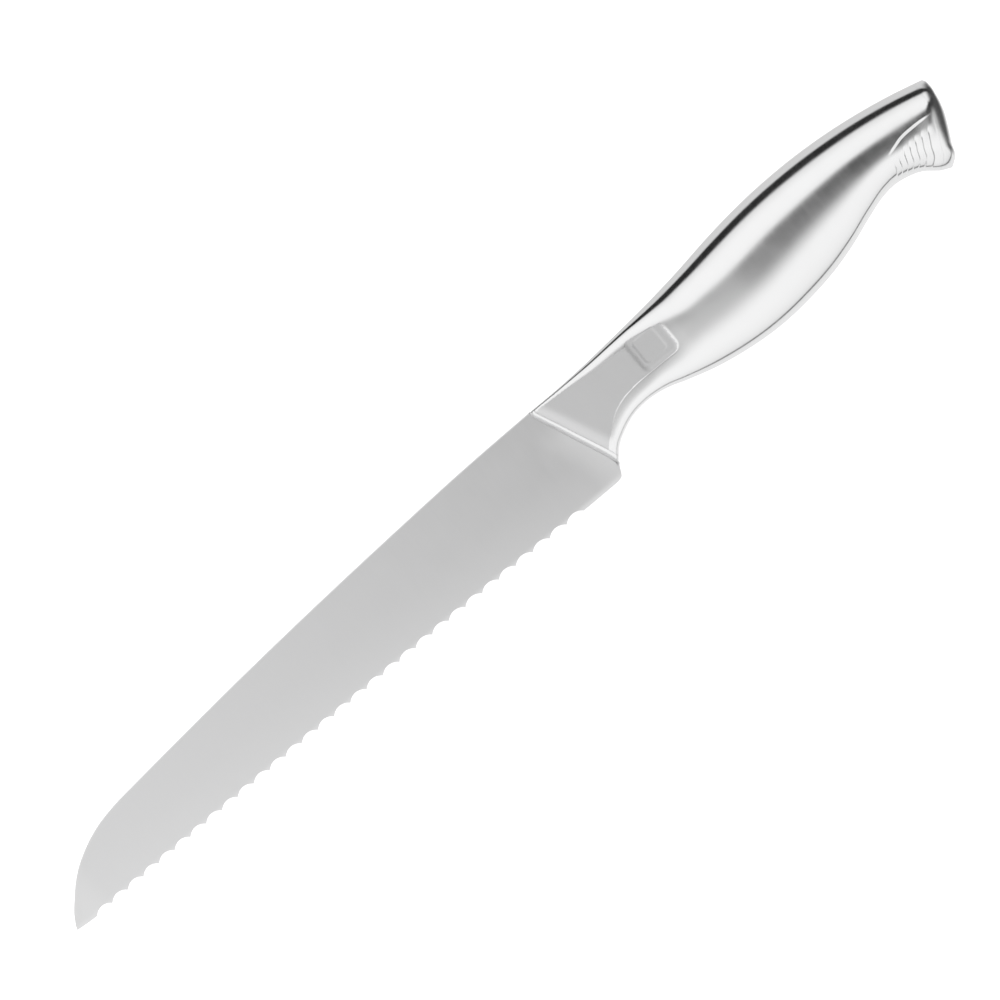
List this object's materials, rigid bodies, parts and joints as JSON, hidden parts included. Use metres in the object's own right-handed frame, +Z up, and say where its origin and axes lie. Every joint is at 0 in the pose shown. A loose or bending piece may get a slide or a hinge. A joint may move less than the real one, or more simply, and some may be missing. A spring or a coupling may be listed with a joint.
{
  "type": "bread knife",
  "caption": "Bread knife with a long scalloped steel blade and a contoured hollow steel handle, welded from two half shells with a collar and a domed butt cap.",
  "frame": {"origin": "centre of the bounding box's underside: the knife lies on its right flank, its middle plane level", "axes": "+X from the blade's tip to the butt, +Y from the cutting edge to the spine, +Z up, out of the knife's left face"},
  "size_m": [0.3288, 0.0372, 0.016],
  "materials": {
    "blade_steel": "satin, brushed across the blade",
    "handle_steel": "fine brushed polish",
    "weld_steel": "ground flush and polished",
    "resin": "cast resin",
    "foam": "matt wad",
    "slug_steel": "mill finish"
  },
  "bodies": {
    "root": {"blade": "blade_steel", "bolster_collar": "handle_steel", "handle_shell_left": "handle_steel", "handle_shell_right": "handle_steel", "spine_weld": "weld_steel", "belly_weld": "weld_steel", "butt_cap": "handle_steel", "tang_cement": "resin", "weight_bedding": "resin", "cement_stop": "foam", "balance_weight": "slug_steel"}
  },
  "joints": []
}
